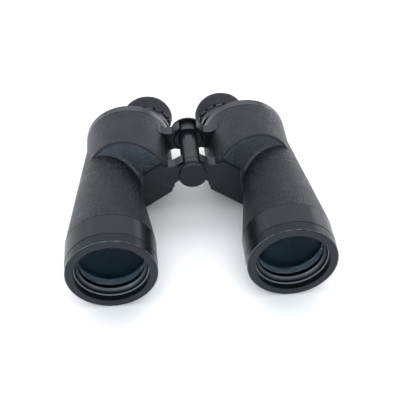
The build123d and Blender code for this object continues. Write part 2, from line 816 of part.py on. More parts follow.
def eyepiece_base():
    """The fixed seat of the eyepiece: a nose in the cover, a flange and the helical neck."""
    flange_back = cover_back + BASE_FLANGE_LENGTH
    return on_eyepiece(turned([
        (base_bore, cover_inside),
        (base_nose_radius, cover_inside),
        (base_nose_radius, cover_back),
        (base_flange_radius, cover_back),
        (base_flange_radius, flange_back - SEAM_BEVEL),
        (base_flange_radius - SEAM_BEVEL, flange_back),
        (neck_radius, flange_back),
        (neck_radius, neck_back),
        (base_bore, neck_back),
    ]))


# Stations inside the eyepiece tube
eye_tube_front = cover_back - EYE_TUBE_FRONT
eye_tube_back = ring_back + EYE_TUBE_BACK
field_lens_front = eye_tube_front + TUBE_LIP_LENGTH + FACE_PLAY
field_lens_back = field_lens_front + FIELD_LENS_THICKNESS
eye_lens_back = eye_tube_back - RETAINING_RING_LENGTH - FACE_PLAY
eye_lens_front = eye_lens_back - EYE_LENS_THICKNESS
eye_flint_front = eye_lens_front - FACE_PLAY - EYE_FLINT_THICKNESS


def eyepiece_tube():
    """The tube that slides in the base and carries the eyepiece lenses."""
    flange_back = flange_front + EYE_TUBE_FLANGE_LENGTH
    return on_eyepiece(turned([
        (eye_tube_bore - TUBE_LIP, eye_tube_front),
        (eye_tube_radius, eye_tube_front),
        (eye_tube_radius, flange_front),
        (tube_flange_radius, flange_front),
        (tube_flange_radius, flange_back),
        (eye_tube_radius, flange_back),
        (eye_tube_radius, eye_tube_back),
        (eye_tube_bore, eye_tube_back),
        (eye_tube_bore, eye_tube_front + TUBE_LIP_LENGTH),
        (eye_tube_bore - TUBE_LIP, eye_tube_front + TUBE_LIP_LENGTH),
    ]))


def field_lens():
    """The front lens of the eyepiece, flat in front."""
    return on_eyepiece(
        lens(EYE_LENS_RADIUS, field_lens_front, field_lens_back, 0, FIELD_LENS_CURVE_RADIUS))


def eye_lens():
    """The pair of lenses next to the eye."""
    crown = lens(
        EYE_LENS_RADIUS, eye_lens_front, eye_lens_back,
        EYE_LENS_INNER_CURVE_RADIUS, EYE_LENS_CURVE_RADIUS)
    flint = lens(
        EYE_LENS_RADIUS, eye_flint_front, eye_lens_front - FACE_PLAY,
        0, -EYE_LENS_INNER_CURVE_RADIUS)
    return [on_eyepiece(crown), on_eyepiece(flint)]


def eyepiece_spacer():
    """The ring that keeps the eyepiece lenses apart."""
    bore = EYE_LENS_RADIUS - RETAINING_RING
    start = field_lens_back - sag(FIELD_LENS_CURVE_RADIUS, bore) + FACE_PLAY
    return on_eyepiece(ring(EYE_LENS_RADIUS, bore, start, eye_flint_front - FACE_PLAY))


def eye_lens_retainer():
    """The ring behind the eye lens, with a coned mouth."""
    bore = EYE_LENS_RADIUS - RETAINING_RING
    nose = eye_lens_back - sag(EYE_LENS_CURVE_RADIUS, EYE_LENS_RADIUS) + FACE_PLAY
    return on_eyepiece(turned([
        (bore, nose + RETAINING_RING),
        (EYE_LENS_RADIUS, nose),
        (EYE_LENS_RADIUS, eye_tube_back),
        (bore + RETAINING_RING / 2, eye_tube_back),
    ]))


def focus_ring():
    """The turning ring, with a rim of round notches for the fingers."""
    grip_front = grip_back - GRIP_LENGTH
    shoulder_back = ring_shoulder + RING_SHOULDER_LENGTH
    turned_ring = turned([
        (ring_bore, ring_front),
        (ring_radius - SEAM_BEVEL, ring_front),
        (ring_radius, ring_front + SEAM_BEVEL),
        (ring_radius, grip_front - GRIP_RIM),
        (grip_radius, grip_front, GRIP_ROUND),
        (grip_radius, grip_back, GRIP_ROUND),
        (ring_radius, grip_back),
        (ring_radius, ring_back),
        (tube_flange_seat, ring_back),
        (tube_flange_seat, shoulder_back),
        (holder_bore, shoulder_back),
        (holder_bore, ring_shoulder),
        (ring_bore, ring_shoulder),
    ])
    notch = Pos(grip_radius, 0, 0) * disc(
        NOTCH_RADIUS, grip_front - GRIP_RIM, grip_front - GRIP_RIM + NOTCH_LENGTH)
    for index in range(NOTCH_COUNT):
        turned_ring -= Rot(0, index * 360 / NOTCH_COUNT, 0) * notch
    return on_eyepiece(turned_ring)


def eyecup_holder():
    """The ring that closes the focus ring behind and carries the rubber cup."""
    neck_end = cup_front + HOLDER_NECK_LENGTH
    return on_eyepiece(turned([
        (holder_bore, ring_back),
        (ring_radius, ring_back),
        (ring_radius, cup_front),
        (holder_neck_radius, cup_front),
        (holder_neck_radius, neck_end),
        (holder_bore, neck_end),
    ]))


def eyecup():
    """The flared rubber cup, with a skirt over the focus ring and a turned-in rim."""
    skirt_bore = ring_radius + RUNNING_FIT
    skirt_front = grip_back + FACE_PLAY
    flare_end = cup_front + EYECUP_FLARE_LENGTH
    lip_front = cup_front + HOLDER_NECK_LENGTH + FACE_PLAY
    lip = eyecup_bore - EYECUP_LIP
    return on_eyepiece(turned([
        (eyecup_bore, cup_front),
        (skirt_bore, cup_front),
        (skirt_bore, skirt_front),
        (grip_radius, skirt_front, EYECUP_ROUND),
        (EYECUP_FLARE, flare_end, EYECUP_FLARE_ROUND),
        (EYECUP_FLARE, flare_end + EYECUP_BAND, EYECUP_FLARE_ROUND),
        (EYECUP_FLARE - EYECUP_TURN_IN, cup_back, EYECUP_ROUND),
        (EYECUP_FLARE - EYECUP_TURN_IN - EYECUP_RIM, cup_back, EYECUP_ROUND),
        (lip, lip_front + EYECUP_LIP_LENGTH),
        (lip, lip_front),
        (eyecup_bore, lip_front),
    ]))


def hinge_axle():
    """The hinge's steel axle, with the tripod socket in its head."""
    axle = turned([
        (0, axle_front),
        (AXLE_HEAD_RADIUS, axle_front),
        (AXLE_HEAD_RADIUS, ridge),
        (AXLE_RADIUS, ridge),
        (AXLE_RADIUS, nut_back),
        (0, nut_back),
    ])
    return on_hinge(axle - disc(
        SOCKET_RADIUS, axle_front - OVERRUN, axle_front + SOCKET_LENGTH))


def hinge_sleeve():
    """The plain tube round the axle, between the front and rear arms."""
    return on_hinge(ring(
        SLEEVE_RADIUS, axle_bore,
        front_knuckle_back + SLEEVE_PLAY, rear_knuckle_front - SLEEVE_PLAY))


def hinge_washers():
    """The two friction washers between the knuckles."""
    return [
        on_hinge(ring(SLEEVE_RADIUS, axle_bore, start, start + WASHER_THICKNESS))
        for start in (washer_front, rear_washer_front)
    ]


def eye_distance_dial():
    """The disc behind the hinge that shows the distance between the eyes."""
    return on_hinge(ring(DIAL_RADIUS, axle_bore, rear_knuckle_back + FACE_PLAY, dial_back))


def hinge_nut():
    """The round nut behind the dial, with two spanner slots."""
    nut = ring(NUT_RADIUS, axle_bore, dial_back, nut_back)
    nut -= slab(
        Rectangle(2 * NUT_RADIUS + OVERRUN, NUT_SLOT), nut_back - NUT_SLOT, nut_back + OVERRUN)
    return on_hinge(nut)


def tripod_cap():
    """The round cap over the tripod socket, coned from the knuckle to its rim."""
    return on_hinge(turned([
        (0, cap_front),
        (CAP_RADIUS, cap_front, CAP_ROUND),
        (CAP_RADIUS, cap_front + CAP_RIM, CAP_ROUND),
        (FRONT_KNUCKLE_RADIUS, ridge - FACE_PLAY),
        (AXLE_HEAD_RADIUS + RUNNING_FIT, ridge - FACE_PLAY),
        (AXLE_HEAD_RADIUS + RUNNING_FIT, cap_front + CAP_FRONT_WALL),
        (0, cap_front + CAP_FRONT_WALL),
    ]))


PAIRED = (
    objective_hood, objective_cell, lens_mount, lens_retainer, crown_lens, flint_lens,
    objective_seal, tube_baffle, prism_shelf, field_prism, eye_prism, prism_straps,
    cover_gasket, rear_cover, cover_screws, eyepiece_base, eyepiece_tube, field_lens,
    eye_lens, eyepiece_spacer, eye_lens_retainer, focus_ring, eyecup_holder, eyecup,
)
SINGLE = (hinge_axle, hinge_sleeve, hinge_washers, eye_distance_dial, hinge_nut, tripod_cap)


def solids_of(piece):
    """The separate solids of a piece or of a list of pieces."""
    if isinstance(piece, list):
        return [solid for item in piece for solid in item.solids()]
    return piece.solids()


def write(name, piece):
    """Writes one node, as one solid or as a group of separate solids."""
    solids = solids_of(piece)
    node = solids[0] if len(solids) == 1 else Compound(children=solids)
    node.label = name
    export_step(node, os.path.join("parts", name + ".step"))


def main():
    """Makes every node and writes it."""
    os.makedirs("parts", exist_ok=True)
    write("left_body", body(outer_knuckles=True))
    write("right_body", mirror(body(outer_knuckles=False), Plane.YZ))
    for make in PAIRED:
        left = [Part() + solid for solid in solids_of(make())]
        write("left_" + make.__name__, left)
        write("right_" + make.__name__, [mirror(solid, Plane.YZ) for solid in left])
    for make in SINGLE:
        write(make.__name__, make())


if __name__ == "__main__":
    main()
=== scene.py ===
from math import asin, cos, hypot, pi, radians, sin, sqrt

import bpy
from mathutils import Matrix, Vector


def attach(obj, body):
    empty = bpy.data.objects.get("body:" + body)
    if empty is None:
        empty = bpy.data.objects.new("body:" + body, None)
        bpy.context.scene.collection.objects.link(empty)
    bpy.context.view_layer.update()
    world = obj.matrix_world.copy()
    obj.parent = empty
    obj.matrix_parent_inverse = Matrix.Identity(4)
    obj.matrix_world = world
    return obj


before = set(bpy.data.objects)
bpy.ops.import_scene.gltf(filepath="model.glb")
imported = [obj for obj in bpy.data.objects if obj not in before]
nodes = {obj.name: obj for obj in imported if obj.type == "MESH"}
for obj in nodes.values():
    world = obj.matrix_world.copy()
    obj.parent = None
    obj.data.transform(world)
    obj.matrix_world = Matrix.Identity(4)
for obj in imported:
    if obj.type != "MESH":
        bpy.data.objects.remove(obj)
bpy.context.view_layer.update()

MM = 0.001
TO_MM = 1000.0
SIDES = (("left", 1), ("right", -1))

# Sizes of the solids that the looks hang on, in millimetres, for the left barrel
FRONT = -96.986
RIDGE = FRONT + 98.0
MIDDLE = (-50.775, 36.45)
HOUSING_RADIUS = 36.283
OBJECTIVE = (-68.65, 35.25)
EYE = (-32.9, 37.65)
HINGE_Z = 52.25
TUBE_RADIUS = 35.25
TUBE_TAPER = 0.14296
TUBE_START = FRONT + 29.1
RIDGE_ANGLE = radians(36.0)
RIDGE_OFFSET = 2.6
UPPER_SLOPE = 0.5
LOWER_SLOPE = 0.12
RING_FRONT = FRONT + 168.472
RING_RADIUS = 18.6
BASE_FLANGE_BACK = FRONT + 165.072
BASE_FLANGE_RADIUS = 18.0
DIAL_BACK = FRONT + 148.722
ARM_BACK = FRONT + 146.672
HOOD_BORE = 28.6
HOOD_RADIUS = 35.05
LIP_BACK = 6.3

# Where looks change, in millimetres: the arms start between two X values, and the rest are radii
ARM_SIDE = (-26.0, -25.0)
CONE_INNER = (25.2, 25.4)
# The retainer's cone is painted black from these radii out: painted shade of the gap under the
# hood's lip
CONE_MOUTH_SHADE = (28.0, 25.8)
GROUND_RIM = (25.9, 25.95)

# Grain, shine and glass
CASTING_PEBBLE = 1.7
PANEL_PEBBLE = 1.3
COOL_SHINE = (0.9, 1.0, 1.14, 1.0)
PANEL_SHINE = (0.85, 1.0, 1.15, 1.0)
# How much bluer the panel's greys are: a painted reflection of cool light from the front
PANEL_BLUE_SHEEN = 1.3
# The level of the hood's painted highlights
PAINTED_HIGHLIGHT_LEVEL = 0.2
GLASS_HAZE = 0.29
RIM_LEVEL = 0.26
RIM_ROUGHNESS = 0.7
COATING = (0.0, 0.42, 0.85, 1.0)
EYE_COATING = (0.06, 0.2, 0.3, 1.0)
UNCOATED = (1.0, 1.0, 1.0, 1.0)
OBJECTIVE_TINT = (0.9, 0.97, 0.985, 1.0)
EYE_TINT = (0.6, 0.85, 0.92, 1.0)
PRISM_TINT = (0.9, 0.95, 0.93, 1.0)

# Panels on the sloping fronts, in millimetres, with the spacing of their rays in degrees
PANEL_EDGE = 1.5
PANEL_FOOT = 0.9
PANEL_LIFT = 0.6
PANEL_ROUND = 0.9
PANEL_SINK = 0.05
PANEL_RAYS = 260
RAY_STEP = 0.5
LEAST_SPAN = 0.25
TIP_STEP = 0.25
MIDDLE_STEPS = 5
TAIL_WIDTH = 5.0
TAIL_START = radians(28.0)
TAIL_END = radians(-10.0)
BEAD_LIFT = 1.5
BEAD_WIDTH = 4.0
BEAD_ROOM = 2.5
BEAD_STEPS = (0.0, 0.06, 0.15, 0.28, 0.45, 0.65, 0.9, 1.3, 1.8, 2.5, 3.2, 4.0)
RIDGE_BLEND = 4
FOOT_GUESS = 26.0
FOOT_ROUNDS = 6

# Marks, in millimetres: a line has a width, and a mark a length or size and then its place
MARK_LIFT = 0.02
BAR_STRIPS = 4
TEXT_RESOLUTION = 3
SCALE_MIDDLE = 62.0
SCALE_STEP = 7.0
SCALE_REACH = 8
FOCUS_LINE = 0.28
FOCUS_LONG = (1.7, 1.5)
FOCUS_SHORT = (1.0, 1.15)
FOCUS_DIGITS = (2.2, 3.9)
FOCUS_INDEX = (1.6, -1.35)
EYE_DISTANCES = range(56, 73)
NUMBERED = 4
DIAL_LINE = 0.24
DIAL_LONG = (1.5, 13.4)
DIAL_SHORT = (0.9, 13.7)
DIAL_DIGITS = (2.1, 11.2)
DIAL_INDEX = (2.0, 16.2)
INDEX_LINE = 0.4
INDEX_TURN = radians(14.0)

# Camera, floor and room, in metres apart from the camera's target and lens
AZIMUTH, ELEVATION, ROLL = radians(-5.348), radians(42.02), radians(0.183)
CAMERA_TARGET = (0.83, FRONT + 35.0, 73.95)
CAMERA_DISTANCE = 0.6706
CAMERA_CLIP = 0.01
SENSOR_WIDTH = 36.0
FOCAL_LENGTH = 80.26
FLOOR_REACH = 6
FLOOR_DROP = 0.0003
FLOOR_GREYS = ((0.95, 0.95, 0.95, 1), (0.97, 0.97, 0.97, 1))
WORLD_LOW = 0.5
WORLD_HIGH = 1.4
WORLD_RISE = (0.05, 0.95)
WORLD_COLOUR = (0.93, 0.96, 1.0, 1)
FLOOR_MIDDLE = (0, 0, 0)
PART_MIDDLE = (0, 0, 0.04)

# Sockets of a colour mix, and the radians of a wave texture in one unit at scale 1
MIX_FIRST, MIX_SECOND, MIX_RESULT = 6, 7, 2
WAVE_RADIANS = 20

DOWN = Vector((sin(RIDGE_ANGLE), 0, -cos(RIDGE_ANGLE)))
RIDGE_POINT = Vector((MIDDLE[0], RIDGE, MIDDLE[1])) - DOWN * RIDGE_OFFSET
UPPER_NORMAL = Vector((-UPPER_SLOPE * DOWN.x, -1, -UPPER_SLOPE * DOWN.z)).normalized()
LOWER_NORMAL = Vector((LOWER_SLOPE * DOWN.x, -1, LOWER_SLOPE * DOWN.z)).normalized()


class Looks:
    """One procedural material, built node by node."""

    def __init__(self, name, roughness, **constants):
        self.material = bpy.data.materials.new(name)
        self.material.use_nodes = True
        self.tree = self.material.node_tree
        self.shader = self.tree.nodes["Principled BSDF"]
        self.shader.inputs["Roughness"].default_value = roughness
        for key, value in constants.items():
            self.shader.inputs[key.replace("_", " ")].default_value = value
        self.place = self.new("ShaderNodeTexCoord").outputs["Object"]

    def new(self, kind, **settings):
        node = self.tree.nodes.new(kind)
        for key, value in settings.items():
            setattr(node, key, value)
        return node

    def feed(self, value, socket):
        """Links a socket, or sets a plain value."""
        if isinstance(value, bpy.types.NodeSocket):
            self.tree.links.new(value, socket)
        else:
            socket.default_value = value

    def maths(self, operation, first, second=0.0):
        node = self.new("ShaderNodeMath", operation=operation)
        self.feed(first, node.inputs[0])
        self.feed(second, node.inputs[1])
        return node.outputs[0]

    def times(self, first, second):
        return self.maths("MULTIPLY", first, second)

    def inverse(self, share):
        """What a share leaves of 1."""
        return self.maths("SUBTRACT", 1.0, share)

    def weigh(self, first, share, second, second_share):
        """The sum of two values, each times its share."""
        return self.maths("ADD", self.times(first, share), self.times(second, second_share))

    def vector(self, operation, first, second, output):
        node = self.new("ShaderNodeVectorMath", operation=operation)
        self.feed(first, node.inputs[0])
        self.feed(second, node.inputs[1])
        return node.outputs[output]

    def steps(self, value, low, high, to_low=0.0, to_high=1.0):
        """A smooth step of a value between two limits."""
        node = self.new("ShaderNodeMapRange", interpolation_type="SMOOTHSTEP")
        for index, number in enumerate((value, low, high, to_low, to_high)):
            self.feed(number, node.inputs[index])
        return node.outputs[0]

    def noise(self, size, detail=2.0, roughness=0.5):
        """Noise with features of about a size in millimetres."""
        node = self.new("ShaderNodeTexNoise")
        self.feed(self.place, node.inputs["Vector"])
        node.inputs["Scale"].default_value = 1 / (size * MM)
        node.inputs["Detail"].default_value = detail
        node.inputs["Roughness"].default_value = roughness
        return node.outputs["Fac"]

    def cells(self, size):
        """Distance within rounded cells of about a size in millimetres, and a tone per cell."""
        node = self.new("ShaderNodeTexVoronoi", feature="SMOOTH_F1")
        self.feed(self.place, node.inputs["Vector"])
        node.inputs["Scale"].default_value = 1 / (size * MM)
        node.inputs["Smoothness"].default_value = 0.2
        tone = self.new("ShaderNodeSeparateColor")
        self.feed(node.outputs["Color"], tone.inputs[0])
        return node.outputs["Distance"], tone.outputs[0]

    def mix(self, share, first, second):
        node = self.new("ShaderNodeMix", data_type="RGBA")
        self.feed(share, node.inputs["Factor"])
        self.feed(first, node.inputs[MIX_FIRST])
        self.feed(second, node.inputs[MIX_SECOND])
        return node.outputs[MIX_RESULT]

    def colour(self, value):
        self.feed(value, self.shader.inputs["Base Color"])

    def roughness(self, value):
        self.feed(value, self.shader.inputs["Roughness"])

    def bump(self, height, depth):
        """A relief of a depth in millimetres."""
        node = self.new("ShaderNodeBump")
        node.inputs["Strength"].default_value = 1.0
        node.inputs["Distance"].default_value = depth * MM
        self.feed(height, node.inputs["Height"])
        self.feed(node.outputs["Normal"], self.shader.inputs["Normal"])


def grey(level, cool=1.0):
    """A linear grey, cooled a little towards blue."""
    return (level * (1 - 0.1 * cool), level, level * (1 + 0.16 * cool), 1.0)


def mirrored_place(looks):
    """Object coordinates with the right barrel folded onto the left one, in metres."""
    part = looks.new("ShaderNodeSeparateXYZ")
    looks.feed(looks.place, part.inputs[0])
    fold = looks.times(looks.maths("ABSOLUTE", part.outputs[0]), -1.0)
    join = looks.new("ShaderNodeCombineXYZ")
    looks.feed(fold, join.inputs[0])
    looks.feed(part.outputs[1], join.inputs[1])
    looks.feed(part.outputs[2], join.inputs[2])
    return join.outputs[0], fold, part.outputs[1], part.outputs[2]


def height_over(looks, place, normal, point):
    """Height over a plane through a point, in millimetres."""
    along = looks.vector("DOT_PRODUCT", place, tuple(normal), "Value")
    return looks.times(looks.maths("SUBTRACT", along, normal.dot(point) * MM), TO_MM)


def away_from(looks, x, z, centre):
    """Distance from an axis along Y, in millimetres."""
    flat = looks.new("ShaderNodeCombineXYZ")
    looks.feed(looks.maths("SUBTRACT", x, centre[0] * MM), flat.inputs[0])
    looks.feed(looks.maths("SUBTRACT", z, centre[1] * MM), flat.inputs[1])
    return looks.times(looks.vector("LENGTH", flat.outputs[0], (0, 0, 0), "Value"), TO_MM)


def from_objective(looks):
    """Distance from the objective's axis and the station along it, in millimetres."""
    _, x, y, z = mirrored_place(looks)
    station = looks.maths("SUBTRACT", looks.times(y, TO_MM), FRONT)
    return away_from(looks, x, z, OBJECTIVE), station


def pebbles(looks, size):
    """The pebbled grain of a covering: its height, and a share from 0 to 1 that paints pebble
    tops lighter and the valleys between them darker as painted shade, mixed with a random tone
    per pebble.
    """
    distance, tone = looks.cells(size)
    coarse = looks.steps(distance, 0.12, 0.62, 1.0, 0.0)
    fine = looks.noise(0.4, 3.0, 0.6)
    height = looks.weigh(coarse, 0.8, fine, 0.2)
    # Painted shade: lighter on each pebble's top and darker in the valleys, plus a random tone
    # per pebble.
    lit = looks.weigh(coarse, 0.65, tone, 0.35)
    return height, looks.steps(lit, 0.25, 0.95)


def covering(looks, lit, deep, top):
    """The colours of a pebbled covering, darker in the valleys between pebbles as painted shade,
    a little worn in patches.
    """
    worn = looks.steps(looks.noise(14.0, 3.0), 0.35, 0.75, 0.0, 0.2)
    return looks.mix(worn, looks.mix(lit, deep, top), top)


def casting_looks():
    """The barrel casting: pebbled covering, smooth arms and front, and painted shade along the
    covering's upper edge on the slope.
    """
    looks = Looks("grained_casting", 0.45, Specular_IOR_Level=0.3, Specular_Tint=COOL_SHINE)
    place, x, y, z = mirrored_place(looks)
    upper = height_over(looks, place, UPPER_NORMAL, RIDGE_POINT)
    lower = height_over(looks, place, LOWER_NORMAL, RIDGE_POINT)

    from_middle = away_from(looks, x, z, MIDDLE)
    outside = looks.steps(from_middle, HOUSING_RADIUS + 0.05, HOUSING_RADIUS + 0.35)
    arm = looks.times(outside, looks.steps(x, ARM_SIDE[0] * MM, ARM_SIDE[1] * MM))
    on_lower = looks.inverse(looks.steps(looks.maths("ABSOLUTE", lower), 0.5, 1.1))
    near_ridge = looks.steps(y, (RIDGE - 6) * MM, (RIDGE - 5) * MM)
    on_lower = looks.times(on_lower, near_ridge)
    smooth = looks.maths("MAXIMUM", arm, on_lower)

    # Painted shade: a dark band along the slope's upper edge, standing in for the shadow of the
    # gap where the slope's panel meets the housing's covering.
    shaded_edge = looks.times(looks.steps(upper, -1.5, -1.0), looks.steps(upper, 0.05, -0.2))
    shaded_edge = looks.times(shaded_edge, looks.inverse(on_lower))
    soft = looks.steps(y, (RIDGE + 2) * MM, (RIDGE + 14) * MM, 1.0, 0.4)
    height, lit = pebbles(looks, CASTING_PEBBLE)
    height = looks.times(height, looks.times(looks.inverse(smooth), soft))
    grain = covering(looks, looks.times(lit, soft), grey(0.002), grey(0.03))
    plain = looks.mix(looks.noise(9.0, 4.0), grey(0.005), grey(0.008))
    painted = looks.mix(smooth, grain, plain)
    looks.colour(looks.mix(shaded_edge, painted, grey(0.008)))
    rough = looks.steps(looks.noise(10.0, 3.0), 0.3, 0.7, 0.4, 0.48)
    rough = looks.maths("SUBTRACT", rough, looks.times(smooth, 0.16))
    looks.roughness(looks.maths("ADD", rough, looks.times(shaded_edge, 0.15)))
    speckle = looks.times(looks.noise(0.25, 2.0), looks.times(smooth, 0.03))
    looks.bump(looks.maths("ADD", height, speckle), 0.75)
    return looks.material


def panel_looks():
    """The pebbled panel on the sloping front, painted a little bluer and lighter than the
    casting as a painted reflection of cool light from the front.
    """
    looks = Looks("slope_covering", 0.42, Specular_IOR_Level=0.5, Specular_Tint=PANEL_SHINE)
    height, lit = pebbles(looks, PANEL_PEBBLE)
    # Painted reflection: the panel's greys are bluer and lighter than the casting's.
    looks.colour(covering(looks, lit, grey(0.003, PANEL_BLUE_SHEEN), grey(0.034, PANEL_BLUE_SHEEN)))
    looks.roughness(looks.steps(looks.noise(8.0, 3.0), 0.3, 0.7, 0.4, 0.5))
    looks.bump(height, 0.2)
    return looks.material


def satin_looks(name, level, rough, shine=0.35, wear_and_highlights=None):
    """Smooth paint or anodising, slightly mottled, with optional painted highlights."""
    looks = Looks(name, rough, Specular_IOR_Level=shine, Specular_Tint=COOL_SHINE)
    mottle = looks.noise(6.0, 4.0)
    paint = looks.mix(mottle, grey(level * 0.85), grey(level * 1.15))
    if wear_and_highlights:
        # Painted highlights: the mask's places are painted bright.
        paint = looks.mix(wear_and_highlights(looks), paint, grey(PAINTED_HIGHLIGHT_LEVEL))
    looks.colour(paint)
    fine = looks.noise(0.35, 2.0)
    looks.roughness(looks.maths("ADD", rough - 0.05, looks.times(fine, 0.1)))
    looks.bump(fine, 0.005)
    return looks.material


def hood_wear(looks):
    """Where the hood is painted bright: painted highlights on its inner lip and its outer edge,
    broken into patches, and a faint painted reflection on its face.
    """
    distance, station = from_objective(looks)
    inside = looks.steps(distance, HOOD_BORE - 0.05, HOOD_BORE - 0.15)
    lip = looks.times(inside, looks.steps(station, LIP_BACK - 0.02, LIP_BACK - 0.1))
    rim = looks.maths("ADD", distance, station)
    rim = looks.steps(rim, HOOD_RADIUS + 0.1, HOOD_RADIUS + 0.3)
    rim = looks.times(rim, looks.steps(station, 1.0, 0.85))
    rim = looks.times(rim, looks.steps(looks.noise(5.0, 3.0), 0.35, 0.6, 0.15, 0.55))
    face = looks.steps(station, 0.4, 0.1, 0.0, 0.07)
    return looks.maths("MAXIMUM", looks.maths("MAXIMUM", lip, rim), face)


def retainer_looks():
    """The retainer's bright turned cone, with painted shade of the gap under the hood's lip
    towards its mouth, and black inside.
    """
    looks = Looks("retainer_metal", 0.28, Metallic=1.0)
    distance, _ = from_objective(looks)
    # Black towards the mouth is painted shade of the gap under the hood's lip.
    cone = looks.times(looks.steps(distance, *CONE_INNER), looks.steps(distance, *CONE_MOUTH_SHADE))
    streak = looks.noise(0.6, 3.0)
    bright = looks.mix(streak, grey(0.06), grey(0.1))
    looks.colour(looks.mix(cone, grey(0.006), bright))
    looks.roughness(looks.maths("ADD", 0.38, looks.times(streak, 0.12)))
    return looks.material


def turned_looks(name, level, rough, pitch, depth, shine=0.4):
    """Turned metal with fine grooves square to the optical axis."""
    looks = Looks(name, rough, Specular_IOR_Level=shine)
    wave = looks.new(
        "ShaderNodeTexWave", wave_type="BANDS", bands_direction="Y", wave_profile="SIN")
    looks.feed(looks.place, wave.inputs["Vector"])
    wave.inputs["Scale"].default_value = 2 * pi / WAVE_RADIANS / (pitch * MM)
    mottle = looks.noise(5.0, 4.0)
    looks.colour(looks.mix(mottle, grey(level * 0.85), grey(level * 1.15)))
    looks.roughness(looks.steps(mottle, 0.3, 0.7, rough - 0.05, rough + 0.05))
    looks.bump(wave.outputs["Fac"], depth)
    return looks.material


def rubber_looks(name, level):
    """Matte rubber with a fine skin and a little dust."""
    looks = Looks(name, 0.72, Specular_IOR_Level=0.33, Specular_Tint=COOL_SHINE)
    dust = looks.steps(looks.noise(7.0, 6.0, 0.65), 0.45, 0.8)
    looks.colour(looks.mix(dust, grey(level), grey(level * 1.7)))
    looks.roughness(looks.steps(dust, 0.0, 1.0, 0.62, 0.8))
    looks.bump(looks.noise(0.3, 3.0), 0.03)
    return looks.material


def glass_looks(name, tint, reflection, ior, ground_rim=False):
    """Clear glass, with an optional matte ground rim.

    A low index and a weak coloured reflection stand in for a coating.
    """
    looks = Looks(name, GLASS_HAZE, IOR=ior, Transmission_Weight=1.0, Specular_Tint=reflection)
    haze = looks.noise(18.0, 2.0)
    dim = (tint[0] * 0.97, tint[1] * 0.98, tint[2] * 0.98, 1.0)
    clear = looks.mix(haze, dim, tint)
    if ground_rim:
        distance, _ = from_objective(looks)
        rim = looks.steps(distance, *GROUND_RIM)
        clear = looks.mix(rim, clear, grey(RIM_LEVEL))
        looks.roughness(looks.steps(rim, 0.0, 1.0, GLASS_HAZE, RIM_ROUGHNESS))
        looks.feed(looks.inverse(rim), looks.shader.inputs["Transmission Weight"])
    looks.colour(clear)
    return looks.material


def steel_looks(name, level, rough):
    """Bare or blackened steel with a fine grain."""
    looks = Looks(name, rough, Metallic=1.0)
    streak = looks.noise(0.5, 2.0)
    looks.colour(looks.mix(streak, grey(level * 0.85), grey(level * 1.1)))
    looks.roughness(looks.maths("ADD", rough - 0.06, looks.times(streak, 0.12)))
    return looks.material


def paint_looks(name, level):
    """The paint of the marks."""
    looks = Looks(name, 0.55)
    wear_and_highlights = looks.noise(0.8, 3.0)
    looks.colour(looks.mix(looks.steps(wear_and_highlights, 0.3, 0.7), grey(level * 0.8), grey(level)))
    return looks.material


MATERIALS = {
    "body": casting_looks(),
    "panel": panel_looks(),
    "cover": satin_looks("smooth_casting", 0.018, 0.28),
    "band": satin_looks("satin_black", 0.006, 0.28, 0.2),
    "hood": satin_looks("hood_black", 0.007, 0.28, 0.14, hood_wear),
    "retainer": retainer_looks(),
    "inner": turned_looks("inner_black", 0.003, 0.5, 0.5, 0.02, 0.06),
    "baffle": turned_looks("baffle_grey", 0.014, 0.5, 0.5, 0.02, 0.2),
    "objective": glass_looks("objective_glass", OBJECTIVE_TINT, COATING, 1.14, ground_rim=True),
    "lens": glass_looks("eyepiece_glass", EYE_TINT, EYE_COATING, 1.25),
    "prism": glass_looks("prism_glass", PRISM_TINT, UNCOATED, 1.25),
    "seal": rubber_looks("seal_rubber", 0.006),
    "eyecup": rubber_looks("eyecup_rubber", 0.004),
    "spring": steel_looks("spring_steel", 0.4, 0.35),
    "screw": steel_looks("black_steel", 0.06, 0.35),
    "neck": turned_looks("helical_neck", 0.02, 0.35, 0.9, 0.12),
    "hinge": satin_looks("hinge_black", 0.008, 0.3, 0.3),
    "cap": satin_looks("cap_plastic", 0.003, 0.42, 0.3),
    "focus": satin_looks("focus_black", 0.014, 0.3),
    "washer": rubber_looks("washer_plastic", 0.02),
    "mark": paint_looks("mark_paint", 0.42),
}
PAIRED_LOOKS = {
    "body": "body", "objective_hood": "hood", "objective_cell": "band", "lens_mount": "inner",
    "lens_retainer": "retainer", "crown_lens": "objective", "flint_lens": "objective",
    "objective_seal": "seal", "tube_baffle": "baffle", "prism_shelf": "inner",
    "field_prism": "prism", "eye_prism": "prism", "prism_straps": "spring",
    "cover_gasket": "seal", "rear_cover": "cover", "cover_screws": "screw",
    "eyepiece_base": "neck", "eyepiece_tube": "inner", "field_lens": "lens",
    "eye_lens": "lens", "eyepiece_spacer": "inner", "eye_lens_retainer": "inner",
    "focus_ring": "focus", "eyecup_holder": "focus", "eyecup": "eyecup",
}
SINGLE_LOOKS = {
    "hinge_axle": "screw", "hinge_sleeve": "hinge", "hinge_washers": "washer",
    "eye_distance_dial": "band", "hinge_nut": "screw", "tripod_cap": "cap",
}


def dress(node, key):
    """Gives a CAD node its material."""
    data = nodes[node].data
    data.materials.clear()
    data.materials.append(MATERIALS[key])


for side, _ in SIDES:
    for name, key in PAIRED_LOOKS.items():
        dress(side + "_" + name, key)
for name, key in SINGLE_LOOKS.items():
    dress(name, key)


def add_object(name, data):
    """A new object in the scene."""
    item = bpy.data.objects.new(name, data)
    bpy.context.scene.collection.objects.link(item)
    return item


def add_piece(name, mesh, material, body):
    """A new piece in the row frame that rides on a body."""
    mesh.materials.clear()
    mesh.materials.append(material)
    piece = add_object(name, mesh)
    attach(piece, body)


def make_mesh(name, points, faces, smooth=True):
    mesh = bpy.data.meshes.new(name)
    mesh.from_pydata(points, [], faces)
    mesh.update()
    for polygon in mesh.polygons:
        polygon.use_smooth = smooth
    return mesh


